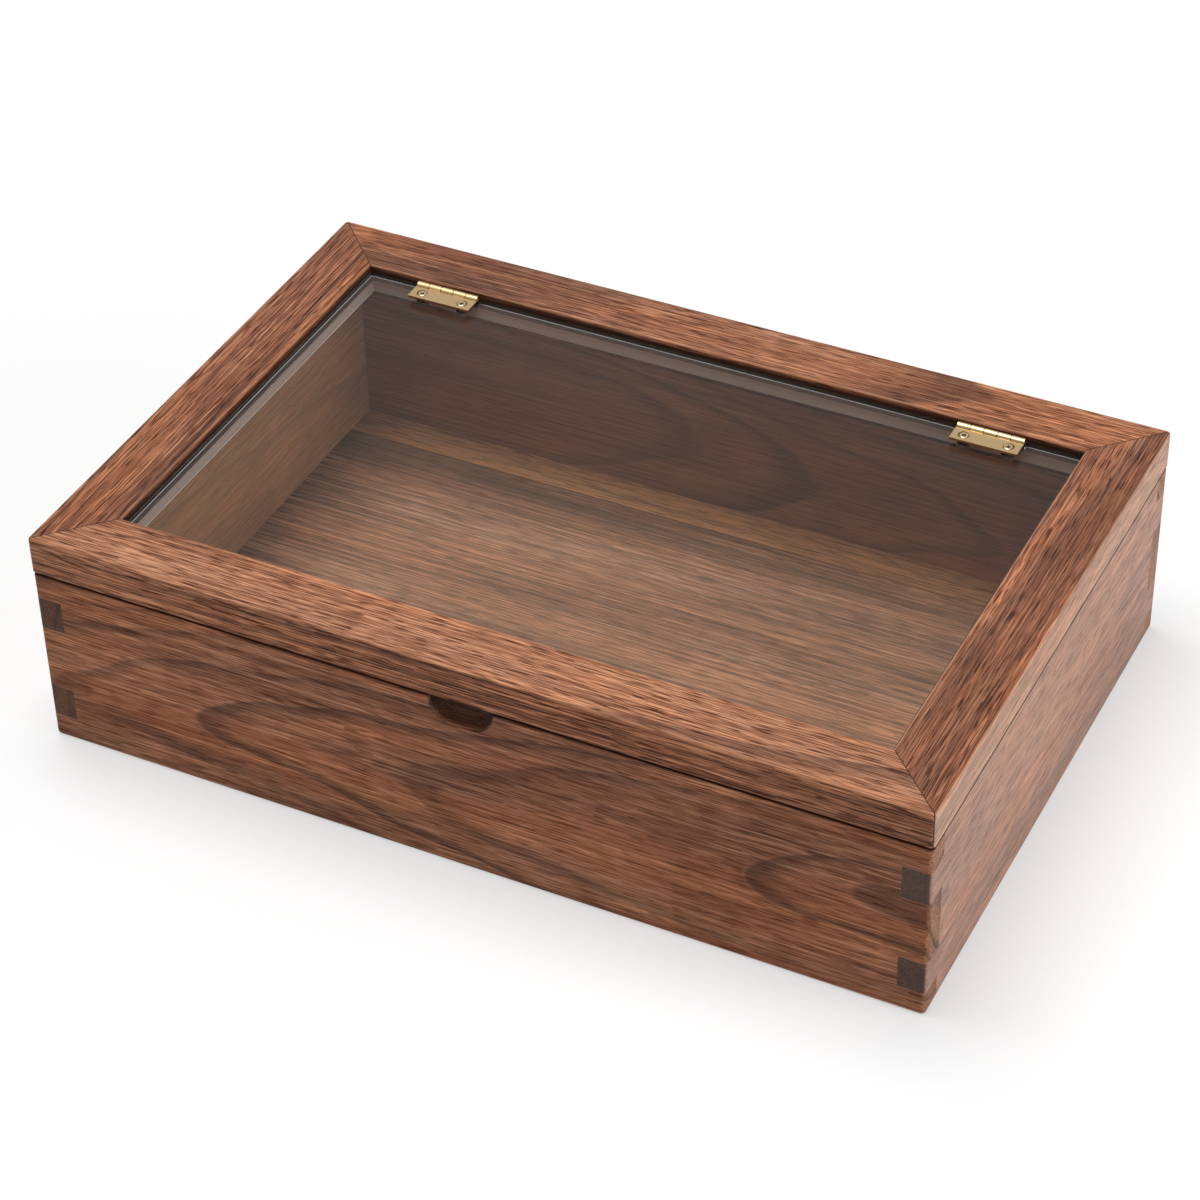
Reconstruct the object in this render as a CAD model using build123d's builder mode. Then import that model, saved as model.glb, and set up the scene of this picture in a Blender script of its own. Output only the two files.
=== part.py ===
from build123d import *
import os
from math import cos, pi, radians, tan

# A walnut jewelry box, 300 mm long, with a glass pane in its lid. The case is four finger-jointed
# boards round a floor panel. The lid is a mitred frame that swings on two stop hinges at the rear,
# and its pane swings up on two small hinges of its own. X runs along the front, Y to the back and
# Z up. The origin is the centre of the case's underside.

# Overall sizes of the box, in mm.
box_length = 300.0
box_width = 200.0
case_height = 65.1
seam_gap = 0.9
lid_thickness = 13.0

# The lid stands this far proud of the case at the front and sides, and is flush with it at the back.
lid_overhang = 0.2

# Case boards and their finger joints.
board_thickness = 9.0
corner_finger = 9.0
side_finger = 11.8

# Floor panel, loose in its grooves so that it can swell.
floor_lift = 2.0
floor_thickness = 4.0
groove_depth = 4.5
floor_play = 0.25

# Thumb scoop in the top edge of the front board, cut by a cutter turned about an axis that lies
# in front of the board.
scoop_width = 22.5
scoop_radius = 9.9
scoop_corner = 7.5
scoop_axis_forward = 4.0

# Lid frame, its ledge strips and the loose tongues in its mitres.
rail_width = 21.0
ledge_reach = 2.0
ledge_tongue = 3.0
ledge_height = 4.4
tongue_length = 12.0
tongue_width = 10.0
tongue_thickness = 3.0
tongue_inset = 9.5
tongue_lift = 3.0

# Glass pane.
glass_thickness = 3.0
glass_drop = 2.4
glass_gap = 0.5
glass_seat_gap = 0.3
glass_arris = 0.35

# Rounded edges of the woodwork.
corner_round = 1.5
foot_round = 1.4
lid_arris = 0.8
seam_ease = 0.3

# Both kinds of hinge.
hinge_length = 23.0
hinge_inset = 52.0
knuckle_side_gap = 0.25
knuckle_sweep_gap = 0.2
pin_running_gap = 0.05
screw_end_margin = 4.0

# Stop hinges of the lid.
lid_knuckle_count = 3
lid_knuckle_radius = 1.6
lid_pin_radius = 0.8
lid_axis_outset = 0.4
lid_leaf_reach = 7.6
lid_leaf_thickness = 2.0
lid_leaf_screw_reach = 4.2
lid_stop_angle = 101.0

# Small hinges of the pane.
pane_knuckle_count = 5
pane_knuckle_radius = 1.4
pane_pin_radius = 0.6
pane_axis_lift = 0.4
pane_leaf_reach = 7.6
pane_leaf_thickness = 0.8
pane_leaf_screw_reach = 4.6
rail_leaf_reach = 9.4
rail_leaf_sink = 0.1
rail_leaf_screw_reach = 6.4
pane_barrel_gap = 0.2
pane_notch_gap = 0.4

# Countersunk screws and the nuts under the glass.
screw_radius = 1.0
screw_head_radius = 1.8
screw_fit = 0.05
recess_length = 1.9
recess_width = 0.5
recess_depth = 0.55
wood_screw_length = 8.0
nut_flats = 4.0
nut_height = 1.6
nut_overrun = 0.4
glass_hole_gap = 0.2

# Screws, pins and their holes are too small to need true circles, so they have this many sides.
small_round_sides = 14

# Levels and places that follow from the sizes above.
lid_bottom = case_height + seam_gap
lid_top = lid_bottom + lid_thickness
seam_level = case_height + seam_gap / 2
finger_heights = (corner_finger + side_finger / 2, case_height - corner_finger - side_finger / 2)
glass_top = lid_top - glass_drop
glass_bottom = glass_top - glass_thickness
ledge_top = glass_bottom - glass_seat_gap
ledge_bottom = ledge_top - ledge_height
rail_wall_y = box_width / 2 - rail_width
lid_axis = (box_width / 2 + lid_axis_outset, seam_level)
pane_axis = (rail_wall_y - pane_knuckle_radius - pane_barrel_gap, glass_top + pane_axis_lift)
hinge_x = box_length / 2 - hinge_inset
hinge_centres = {"left": -hinge_x, "right": hinge_x}
screw_spacing = hinge_length - 2 * screw_end_margin
flat_to_corner = cos(pi / small_round_sides)
screw_head_depth = (screw_head_radius - screw_radius) * flat_to_corner
nut_radius = nut_flats / 3**0.5

SIDES = ("front", "right", "back", "left")

os.makedirs("parts", exist_ok=True)


def save(piece, name):
    """Label a finished piece and write its STEP file."""
    piece.part.label = name
    export_step(piece.part, f"parts/{name}.step")


def inset_corners(inset):
    """Corners of the box's plan drawn in by inset, front left first and anticlockwise."""
    x = box_length / 2 - inset
    y = box_width / 2 - inset
    return [(-x, -y), (x, -y), (x, y), (-x, y)]


def mitred_member(side, outer_inset, inner_inset, bottom, height):
    """One side of a rectangular frame, mitred at both ends."""
    start = SIDES.index(side)
    end = (start + 1) % len(SIDES)
    outer = inset_corners(outer_inset)
    inner = inset_corners(inner_inset)
    with BuildPart() as member:
        with BuildSketch(Plane.XY.offset(bottom)):
            Polygon(outer[start], outer[end], inner[end], inner[start], align=None)
        extrude(amount=height)
    return member


def screw_places(centre_x, y):
    """The two screws of a hinge leaf, as points in plan."""
    return [(centre_x - screw_spacing / 2, y), (centre_x + screw_spacing / 2, y)]


def both_hinges(y):
    """The screws of one kind of leaf on both hinges, as points in plan."""
    return [place for x in hinge_centres.values() for place in screw_places(x, y)]


def countersunk_screws(plane, places, length, fit=0.0):
    """Screws driven against the plane's normal, heads flush with it, or their room with a fit."""
    with BuildPart() as screws:
        with BuildSketch(plane):
            with Locations(*places):
                RegularPolygon(screw_head_radius + fit, small_round_sides)
        extrude(amount=-screw_head_depth, taper=45)
        with BuildSketch(plane.offset(-screw_head_depth)):
            with Locations(*places):
                RegularPolygon(screw_radius + fit, small_round_sides)
        extrude(amount=screw_head_depth - length - fit)
    return screws


def hinge_leaf(centre_x, axis, knuckle_count, knuckle_radius, pin_radius, plate, first_knuckle, screws):
    """A leaf: its plate, every second knuckle from first_knuckle on, and its screw holes."""
    start = centre_x - hinge_length / 2
    knuckle_length = hinge_length / knuckle_count
    with BuildPart() as leaf:
        with BuildSketch(Plane.YZ.offset(start)):
            with Locations(axis):
                Polygon(*plate, align=None)
        extrude(amount=hinge_length)
        for knuckle in range(knuckle_count):
            near = start + knuckle * knuckle_length
            if knuckle % 2 == first_knuckle:
                with BuildSketch(Plane.YZ.offset(near + knuckle_side_gap / 2)):
                    with Locations(axis):
                        Circle(knuckle_radius)
                extrude(amount=knuckle_length - knuckle_side_gap)
            else:
                with BuildSketch(Plane.YZ.offset(near)):
                    with Locations(axis):
                        Circle(knuckle_radius + knuckle_sweep_gap)
                extrude(amount=knuckle_length, mode=Mode.SUBTRACT)
        with BuildSketch(Plane.YZ.offset(start)):
            with Locations(axis):
                RegularPolygon((pin_radius + pin_running_gap) / flat_to_corner, small_round_sides)
        extrude(amount=hinge_length, mode=Mode.SUBTRACT)
        add(screws.part, mode=Mode.SUBTRACT)
    return leaf


def hinge_pin(centre_x, axis, pin_radius):
    """A plain pin as long as its hinge."""
    with BuildPart() as pin:
        with BuildSketch(Plane.YZ.offset(centre_x - hinge_length / 2)):
            with Locations(axis):
                RegularPolygon(pin_radius, small_round_sides)
        extrude(amount=hinge_length)
    return pin


# Outline of the glued and sanded case, which every board is trimmed to.
with BuildPart() as case_outline:
    with BuildSketch():
        Rectangle(box_length, box_width)
    extrude(amount=case_height)
    fillet(case_outline.edges().filter_by(Axis.Z), corner_round)
    fillet(case_outline.faces().sort_by(Axis.Z)[0].edges(), foot_round)
    chamfer(case_outline.faces().sort_by(Axis.Z)[-1].edges(), seam_ease)

# Room for the floor panel: its tongue runs in a groove round all four boards.
with BuildPart() as floor_room:
    with BuildSketch(Plane.XY.offset(floor_lift)):
        Rectangle(
            box_length - 2 * (board_thickness - groove_depth),
            box_width - 2 * (board_thickness - groove_depth),
        )
    extrude(amount=floor_thickness)

# The thumb scoop's cutter: a disc with large rounded corners, turned about the seam.
scoop_axis = Axis((0, -box_width / 2 - scoop_axis_forward, seam_level), (1, 0, 0))
with BuildPart() as scoop_cutter:
    with BuildSketch(Plane(origin=scoop_axis.position, x_dir=(1, 0, 0), z_dir=(0, -1, 0))) as cutter:
        Rectangle(scoop_width, 2 * scoop_radius)
        fillet(cutter.vertices(), scoop_corner)
        Rectangle(scoop_width, scoop_radius, align=(Align.CENTER, Align.MIN), mode=Mode.INTERSECT)
    revolve(axis=scoop_axis)

# Room for the lid hinges in the wood, and for their screws.
case_screw_plane = Plane.XY.offset(case_height)
lid_screw_plane = Plane(origin=(0, 0, lid_bottom), x_dir=(1, 0, 0), z_dir=(0, 0, -1))
lid_leaf_front = lid_axis[0] - lid_leaf_reach
lid_screw_y = lid_axis[0] - lid_leaf_screw_reach
case_screw_places = both_hinges(lid_screw_y)
lid_screw_places = both_hinges(-lid_screw_y)
with BuildPart() as lid_hinge_room:
    with BuildSketch(Plane.XY.offset(case_height - lid_leaf_thickness)):
        with Locations(*[(x, lid_leaf_front) for x in hinge_centres.values()]):
            Rectangle(hinge_length, lid_leaf_reach + lid_leaf_thickness, align=(Align.CENTER, Align.MIN))
    extrude(amount=2 * lid_leaf_thickness + seam_gap)
    for centre_x in hinge_centres.values():
        with BuildSketch(Plane.YZ.offset(centre_x - hinge_length / 2)):
            with Locations(lid_axis):
                Circle(lid_knuckle_radius + knuckle_sweep_gap)
        extrude(amount=hinge_length)
case_screw_room = countersunk_screws(case_screw_plane, case_screw_places, wood_screw_length, screw_fit)
lid_screw_room = countersunk_screws(lid_screw_plane, lid_screw_places, wood_screw_length, screw_fit)

# Front and back boards: full length, notched at both ends for the side boards' fingers.
notches = [
    (end * (box_length - board_thickness) / 2, height)
    for end in (-1, 1)
    for height in finger_heights
]
with BuildPart() as front_board:
    with BuildSketch(Plane.XZ.offset(box_width / 2)):
        Rectangle(box_length, case_height, align=(Align.CENTER, Align.MIN))
        with Locations(*notches):
            Rectangle(board_thickness, side_finger, mode=Mode.SUBTRACT)
    extrude(amount=-board_thickness)
    add(floor_room.part, mode=Mode.SUBTRACT)
    add(scoop_cutter.part, mode=Mode.SUBTRACT)
    add(case_outline.part, mode=Mode.INTERSECT)
save(front_board, "front_board")

with BuildPart() as back_board:
    with BuildSketch(Plane.XZ.offset(-box_width / 2)):
        Rectangle(box_length, case_height, align=(Align.CENTER, Align.MIN))
        with Locations(*notches):
            Rectangle(board_thickness, side_finger, mode=Mode.SUBTRACT)
    extrude(amount=board_thickness)
    add(floor_room.part, mode=Mode.SUBTRACT)
    add(lid_hinge_room.part, mode=Mode.SUBTRACT)
    add(case_screw_room.part, mode=Mode.SUBTRACT)
    add(case_outline.part, mode=Mode.INTERSECT)
save(back_board, "back_board")

# Side boards: they fit between the front and back boards, with two fingers at each end.
fingers = [
    (end * (box_width - board_thickness) / 2, height)
    for end in (-1, 1)
    for height in finger_heights
]
for side, direction in (("left", -1), ("right", 1)):
    with BuildPart() as side_board:
        with BuildSketch(Plane.YZ.offset(direction * box_length / 2)):
            Rectangle(
                box_width - 2 * board_thickness,
                case_height,
                align=(Align.CENTER, Align.MIN),
            )
            with Locations(*fingers):
                Rectangle(board_thickness, side_finger)
        extrude(amount=-direction * board_thickness)
        add(floor_room.part, mode=Mode.SUBTRACT)
        add(case_outline.part, mode=Mode.INTERSECT)
    save(side_board, f"{side}_board")

# Floor panel.
with BuildPart() as floor_panel:
    with BuildSketch(Plane.XY.offset(floor_lift)):
        Rectangle(
            box_length - 2 * (board_thickness - groove_depth + floor_play),
            box_width - 2 * (board_thickness - groove_depth + floor_play),
        )
    extrude(amount=floor_thickness)
save(floor_panel, "floor_panel")

# Outline of the glued and sanded lid frame.
with BuildPart() as lid_outline:
    with BuildSketch(Plane.XY.offset(lid_bottom)):
        with Locations((0, -lid_overhang / 2)):
            Rectangle(box_length + 2 * lid_overhang, box_width + lid_overhang)
    extrude(amount=lid_thickness)
    fillet(lid_outline.edges().filter_by(Axis.Z), corner_round)
    with BuildSketch(Plane.XY.offset(lid_bottom)):
        Rectangle(box_length - 2 * rail_width, box_width - 2 * rail_width)
    extrude(amount=lid_thickness, mode=Mode.SUBTRACT)
    fillet(lid_outline.faces().sort_by(Axis.Z)[-1].edges(), lid_arris)
    underside = lid_outline.faces().sort_by(Axis.Z)[0]
    chamfer(underside.outer_wire().edges(), seam_ease)

# Loose tongues in the mitres, turned to lie across each joint.
tongue_places = [
    Location((x, y), 45 if x * y > 0 else -45) for x, y in inset_corners(tongue_inset)
]
with BuildPart() as mitre_tongues:
    with BuildSketch(Plane.XY.offset(lid_bottom + tongue_lift)):
        with Locations(*tongue_places):
            Rectangle(tongue_length, tongue_width)
    extrude(amount=tongue_thickness)
save(mitre_tongues, "mitre_tongues")

# Room for the ledge strips, which are let into the rails.
with BuildPart() as ledge_room:
    with BuildSketch(Plane.XY.offset(ledge_bottom)):
        Rectangle(
            box_length - 2 * (rail_width - ledge_tongue),
            box_width - 2 * (rail_width - ledge_tongue),
        )
    extrude(amount=ledge_height)

# Kerfs in the back rail for the rail leaves of the pane's hinges, and the holes of their screws,
# which are driven up from under the rail.
rail_leaf_top = pane_axis[1] - rail_leaf_sink
rail_leaf_back = pane_axis[0] + rail_leaf_reach
rail_screw_y = pane_axis[0] + rail_leaf_screw_reach
rail_screw_places = both_hinges(-rail_screw_y)
rail_screw_length = rail_leaf_top - lid_bottom + screw_radius
rail_screw_room = countersunk_screws(lid_screw_plane, rail_screw_places, rail_screw_length, screw_fit)
with BuildPart() as kerf_room:
    with BuildSketch(Plane.XY.offset(rail_leaf_top - pane_leaf_thickness)):
        with Locations(*[(x, rail_leaf_back) for x in hinge_centres.values()]):
            Rectangle(hinge_length, rail_leaf_reach, align=(Align.CENTER, Align.MAX))
    extrude(amount=pane_leaf_thickness)

# Lid rails and their ledge strips.
for side in SIDES:
    rail_blank = mitred_member(side, -lid_overhang, rail_width, lid_bottom, lid_thickness)
    with BuildPart() as lid_rail:
        add(rail_blank.part)
        add(ledge_room.part, mode=Mode.SUBTRACT)
        add(mitre_tongues.part, mode=Mode.SUBTRACT)
        if side == "back":
            add(lid_hinge_room.part, mode=Mode.SUBTRACT)
            add(lid_screw_room.part, mode=Mode.SUBTRACT)
            add(kerf_room.part, mode=Mode.SUBTRACT)
            add(rail_screw_room.part, mode=Mode.SUBTRACT)
        add(lid_outline.part, mode=Mode.INTERSECT)
    save(lid_rail, f"lid_{side}_rail")
    ledge_strip = mitred_member(
        side, rail_width - ledge_tongue, rail_width + ledge_reach, ledge_bottom, ledge_height
    )
    save(ledge_strip, f"{side}_ledge_strip")

# Glass pane, notched at the rear round the hinge barrels and drilled for the leaf screws.
pane_screw_y = pane_axis[0] - pane_leaf_screw_reach
pane_screw_places = both_hinges(pane_screw_y)
notch_depth = rail_wall_y - glass_gap - pane_axis[0] + pane_knuckle_radius + pane_notch_gap
with BuildPart() as glass_pane:
    with BuildSketch(Plane.XY.offset(glass_bottom)):
        Rectangle(
            box_length - 2 * (rail_width + glass_gap),
            box_width - 2 * (rail_width + glass_gap),
        )
        with Locations(*[(x, rail_wall_y - glass_gap) for x in hinge_centres.values()]):
            Rectangle(
                hinge_length + 2 * pane_notch_gap,
                notch_depth,
                align=(Align.CENTER, Align.MAX),
                mode=Mode.SUBTRACT,
            )
    extrude(amount=glass_thickness)
    chamfer(glass_pane.faces().filter_by(Axis.Z).edges(), glass_arris)
    with BuildSketch(Plane.XY.offset(glass_bottom)):
        with Locations(*pane_screw_places):
            RegularPolygon(screw_radius + glass_hole_gap, small_round_sides)
    extrude(amount=glass_thickness, mode=Mode.SUBTRACT)
save(glass_pane, "glass_pane")

# Stop hinges of the lid. Behind the axis each leaf ends in a sloping heel, and the two heels meet
# when the lid has turned through the angle between them.
heel_slope = tan(radians(lid_stop_angle / 2))
leaf_near = seam_gap / 2
leaf_far = leaf_near + lid_leaf_thickness
lid_plate = [
    (-lid_leaf_reach, leaf_near),
    (leaf_near / heel_slope, leaf_near),
    (leaf_far / heel_slope, leaf_far),
    (-lid_leaf_reach, leaf_far),
]
case_plate = [(y, -z) for y, z in reversed(lid_plate)]

# Small hinges of the pane: one leaf lies on the glass, the other runs back into the rail.
pane_plate = [
    (-pane_leaf_reach, -pane_axis_lift),
    (0, -pane_axis_lift),
    (0, pane_leaf_thickness - pane_axis_lift),
    (-pane_leaf_reach, pane_leaf_thickness - pane_axis_lift),
]
rail_plate = [
    (0, -rail_leaf_sink - pane_leaf_thickness),
    (rail_leaf_reach, -rail_leaf_sink - pane_leaf_thickness),
    (rail_leaf_reach, -rail_leaf_sink),
    (0, -rail_leaf_sink),
]
pane_screw_plane = Plane.XY.offset(glass_top + pane_leaf_thickness)
pane_screw_length = pane_leaf_thickness + glass_thickness + nut_height + nut_overrun
pane_screw_room = countersunk_screws(pane_screw_plane, pane_screw_places, pane_screw_length, screw_fit)

lid_barrel = (lid_axis, lid_knuckle_count, lid_knuckle_radius, lid_pin_radius)
pane_barrel = (pane_axis, pane_knuckle_count, pane_knuckle_radius, pane_pin_radius)
for hand, centre_x in hinge_centres.items():
    case_leaf = hinge_leaf(centre_x, *lid_barrel, case_plate, 0, case_screw_room)
    save(case_leaf, f"{hand}_lid_hinge_case_leaf")
    lid_leaf = hinge_leaf(centre_x, *lid_barrel, lid_plate, 1, lid_screw_room)
    save(lid_leaf, f"{hand}_lid_hinge_lid_leaf")
    save(hinge_pin(centre_x, lid_axis, lid_pin_radius), f"{hand}_lid_hinge_pin")
    rail_leaf = hinge_leaf(centre_x, *pane_barrel, rail_plate, 0, rail_screw_room)
    save(rail_leaf, f"{hand}_pane_hinge_rail_leaf")
    pane_leaf = hinge_leaf(centre_x, *pane_barrel, pane_plate, 1, pane_screw_room)
    save(pane_leaf, f"{hand}_pane_hinge_pane_leaf")
    save(hinge_pin(centre_x, pane_axis, pane_pin_radius), f"{hand}_pane_hinge_pin")

# Screws and nuts.
save(countersunk_screws(case_screw_plane, case_screw_places, wood_screw_length), "case_leaf_screws")
save(countersunk_screws(lid_screw_plane, lid_screw_places, wood_screw_length), "lid_leaf_screws")
save(countersunk_screws(lid_screw_plane, rail_screw_places, rail_screw_length), "rail_leaf_screws")
pane_screw_blanks = countersunk_screws(pane_screw_plane, pane_screw_places, pane_screw_length)
with BuildPart() as pane_leaf_screws:
    add(pane_screw_blanks.part)
    with BuildSketch(pane_screw_plane):
        with Locations(*pane_screw_places):
            Rectangle(recess_length, recess_width)
            Rectangle(recess_width, recess_length)
    extrude(amount=-recess_depth, mode=Mode.SUBTRACT)
save(pane_leaf_screws, "pane_leaf_screws")
with BuildPart() as pane_screw_nuts:
    with BuildSketch(Plane.XY.offset(glass_bottom - nut_height)):
        with Locations(*pane_screw_places):
            RegularPolygon(nut_radius, 6)
            RegularPolygon(screw_radius + screw_fit, small_round_sides, mode=Mode.SUBTRACT)
    extrude(amount=nut_height)
save(pane_screw_nuts, "pane_screw_nuts")
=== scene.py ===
# %% [markdown]
# # A walnut jewelry box with a glass lid
# The box comes from CAD as a fixed frame: every board, rail, hinge leaf and screw is already in its
# place, in metres. This lesson gives each piece the finish that it has on the real box, and adds the
# small turned metal parts that a CAD model keeps plain. Nothing is fitted by eye, because the frame
# says where each piece lies.

# %% Load the frame
import math

import bpy
import numpy as np
from mathutils import Matrix, Vector


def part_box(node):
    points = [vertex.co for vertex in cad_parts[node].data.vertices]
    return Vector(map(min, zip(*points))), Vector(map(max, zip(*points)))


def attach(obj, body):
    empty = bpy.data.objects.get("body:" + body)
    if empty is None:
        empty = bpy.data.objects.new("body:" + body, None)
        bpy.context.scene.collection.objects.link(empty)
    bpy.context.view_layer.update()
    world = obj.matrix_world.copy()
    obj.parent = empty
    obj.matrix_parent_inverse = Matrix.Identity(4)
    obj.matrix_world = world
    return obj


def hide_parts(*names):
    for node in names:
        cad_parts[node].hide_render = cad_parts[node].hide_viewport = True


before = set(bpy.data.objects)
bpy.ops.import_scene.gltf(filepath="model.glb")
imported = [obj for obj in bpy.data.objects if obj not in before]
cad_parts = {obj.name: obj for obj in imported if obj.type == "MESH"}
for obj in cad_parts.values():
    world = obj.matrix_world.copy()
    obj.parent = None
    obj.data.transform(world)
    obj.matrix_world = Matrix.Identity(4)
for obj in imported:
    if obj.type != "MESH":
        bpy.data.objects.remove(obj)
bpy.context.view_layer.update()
scene = bpy.context.scene
scene.view_settings.view_transform = "Standard"
MM = 0.001
print("pieces in the frame:", len(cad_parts))

# %% [markdown]
# ## Where the box ends
# Many finishes change at a known place: a mitre, the glass edge, the end of a board. Those places are
# read from the frame's boxes instead of being typed in, so the finishes stay right if the box is made
# longer or wider.

# %% Measure the frame
board_low, board_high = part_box("front_board")
half_case_length, half_case_width, seam_height = board_high.x, -board_low.y, board_high.z
opening_y = -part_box("lid_front_rail")[1].y
opening_x = -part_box("lid_left_rail")[1].x
glass_low, glass_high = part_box("glass_pane")
ledge_low, ledge_high = (corner.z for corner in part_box("back_ledge_strip"))
print("half opening, mm:", round(opening_x / MM, 2), round(opening_y / MM, 2))
print("seam at mm:", round(seam_height / MM, 2), "glass up to mm:", [round(v / MM, 2) for v in glass_high])

# %% [markdown]
# ## The camera
# The photograph looks down on the box from the front right. Its place comes from the perspective of the
# box's own corners: with the box's size known, the corners fix the camera's distance, its lens and its
# small roll. The lens is long, because the box's far edges are hardly shorter than its near ones.

# %% Place the camera
EYE = Vector((0.39294, -0.77641, 0.72529))
AZIMUTH, ELEVATION, ROLL = math.radians(27.062), math.radians(38.515), math.radians(-1.396)
FILM_WIDTH, LENS = 36, 104.03
back = Vector(
    (
        math.sin(AZIMUTH) * math.cos(ELEVATION),
        -math.cos(AZIMUTH) * math.cos(ELEVATION),
        math.sin(ELEVATION),
    )
)
across = Vector((0, 0, 1)).cross(back).normalized()
upward = back.cross(across)
right = math.cos(ROLL) * across + math.sin(ROLL) * upward
up = math.cos(ROLL) * upward - math.sin(ROLL) * across
camera = bpy.data.objects.new("camera", bpy.data.cameras.new("camera"))
scene.collection.objects.link(camera)
camera.data.sensor_width, camera.data.lens = FILM_WIDTH, LENS
camera.data.clip_start, camera.data.clip_end = 0.05, 50
camera.matrix_world = Matrix.Translation(EYE) @ Matrix((right, up, back)).transposed().to_4x4()
scene.camera = camera
print("camera distance from the box, m:", round(EYE.length, 3))

# %% [markdown]
# ## A bench for node work
# A finish here is a network of shader nodes. Written out one by one, such a network hides its idea in
# bookkeeping, so a small helper adds a node, sets its properties, and wires whatever it is given: a
# number is set on the socket, and another node's output is linked to it.

# %% Node helpers
class Bench:
    """Adds nodes to one node tree and wires them."""

    def __init__(self, tree):
        self.tree = tree

    def wire(self, socket, value):
        """Links an output to the socket, or sets the socket to a plain value."""
        if isinstance(value, bpy.types.NodeSocket):
            self.tree.links.new(value, socket)
        elif value is not None:
            socket.default_value = value

    def node(self, kind, sockets=None, **properties):
        """Adds a node of that kind, and sets its properties and its input sockets by name or number."""
        made = self.tree.nodes.new("ShaderNode" + kind)
        for name, value in properties.items():
            setattr(made, name, value)
        for name, value in (sockets or {}).items():
            self.wire(made.inputs[name], value)
        return made

    def maths(self, operation, a, b=None, c=None, clamp=False):
        """One arithmetic step on numbers."""
        made = self.node("Math", operation=operation, use_clamp=clamp)
        for socket, value in zip(made.inputs, (a, b, c)):
            self.wire(socket, value)
        return made.outputs[0]

    def vector(self, operation, a, b=None, scale=None):
        """One arithmetic step on vectors."""
        made = self.node("VectorMath", operation=operation)
        self.wire(made.inputs[0], a)
        self.wire(made.inputs[1], b)
        if scale is not None:
            self.wire(made.inputs["Scale"], scale)
        return made.outputs["Value" if operation in ("LENGTH", "DOT_PRODUCT") else "Vector"]

    def parts(self, at):
        """The x, y and z of a vector."""
        return self.node("SeparateXYZ", {0: at}).outputs

    def noise(self, at, detail=2.0, roughness=0.5, colour=False, **properties):
        """Smooth noise from 0 to 1, whose blobs are about one unit across, read at the point that is
        given."""
        place = "W" if properties.get("noise_dimensions") == "1D" else "Vector"
        made = self.node("TexNoise", **properties)
        for name, value in ((place, at), ("Scale", 1.0), ("Detail", detail), ("Roughness", roughness)):
            self.wire(made.inputs[name], value)
        return made.outputs["Color" if colour else "Fac"]

    def spread(self, value, low, high, to_low=0.0, to_high=1.0, smooth=True):
        """The value's range from low to high, carried to another range, and held there outside it."""
        made = self.node(
            "MapRange",
            {0: value, 1: low, 2: high, 3: to_low, 4: to_high},
            interpolation_type="SMOOTHSTEP" if smooth else "LINEAR",
        )
        return made.outputs[0]

    def ramp(self, value, stops):
        """A colour for each value, between the stops (place, colour)."""
        made = self.node("ValToRGB", {"Fac": value})
        bar = made.color_ramp.elements
        while len(bar) < len(stops):
            bar.new(0.5)
        for stop, (place, colour) in zip(bar, stops):
            stop.position = place
            stop.color = (*colour, 1.0)
        return made.outputs["Color"]

    def blend(self, amount, first, second, kind="MIX"):
        """Mixes two colours."""
        made = self.node("Mix", data_type="RGBA", blend_type=kind, clamp_factor=True)
        self.wire(made.inputs["Factor"], amount)
        for name, value in (("A", first), ("B", second)):
            socket = [s for s in made.inputs if s.name == name and s.type == "RGBA"][0]
            self.wire(socket, (*value, 1.0) if isinstance(value, tuple) else value)
        return [s for s in made.outputs if s.type == "RGBA"][0]


def fresh_material(name):
    """An empty node material and its bench."""
    made = bpy.data.materials.new(name)
    made.use_nodes = True
    made.node_tree.nodes.clear()
    return made, Bench(made.node_tree)


def dress(node_name, material):
    """Gives a CAD node a finish through its object's own material slots, so that its mesh isn't touched."""
    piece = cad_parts[node_name]
    for place in piece.material_slots:
        place.link = "OBJECT"
        place.material = material


# %% [markdown]
# ## How walnut gets its figure
# A board is a slice through a trunk. In the trunk the wood lies in rings round the pith, one a year:
# pale where the tree grew fast in spring, dark where it stopped in autumn. Pores run up the trunk as
# fine tubes, and where a cut opens them they show as short dark dashes along the grain, or as dots on
# an end. A picture of wood glued on each face would break at every edge. So the figure is made in space
# instead: each point of the board asks how far it is from the pith, and the rings, streaks and pores
# follow the board round its corners. The end grain of the finger joints then comes out by itself. Apart
# from the rings, every mark is smooth noise that is stretched along the grain. Each noise has three
# numbers, its blobs per metre along the grain and across it: a tube's 120 and 3200 make pores 8 mm long
# and 0.3 mm wide. Years are never alike, so a slow noise along their count makes some rings wide and
# some narrow.

# %% The walnut figure
PALE, WARM = (0.60, 0.285, 0.150), (0.345, 0.138, 0.070)
BROWN, DARK = (0.185, 0.066, 0.033), (0.070, 0.025, 0.014)
AUTUMN_TINT, PORE_TINT = (0.30, 0.33, 0.40), (0.27, 0.21, 0.19)
RED_TINT, PURPLE_TINT = (1.04, 0.96, 0.90), (0.92, 0.96, 1.05)
WANDER, CLOUD, STREAK, HUE, GLOW = (7, 20, 20), (9, 30, 30), (6, 110, 110), (4, 55, 55), (60, 26, 26)
STRAND, FIBRE, TUBE = (10, 1200, 1200), (60, 2600, 2600), (120, 3200, 3200)
MIDDLE_DEPTH, CLOUD_DEPTH, STREAK_DEPTH, STRAND_DEPTH, FIBRE_DEPTH = 0.32, 0.07, 0.09, 0.20, 0.16
UNEVEN_PITCH, UNEVEN_YEARS, FIBRE_SWAY = 0.37, 2.4, 0.12
AUTUMN_START, AUTUMN_FULL, AUTUMN_END = 0.50, 0.90, 0.93
PORE_START, PORE_FULL, PORE_SHADE = 0.54, 0.62, 0.75


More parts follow.
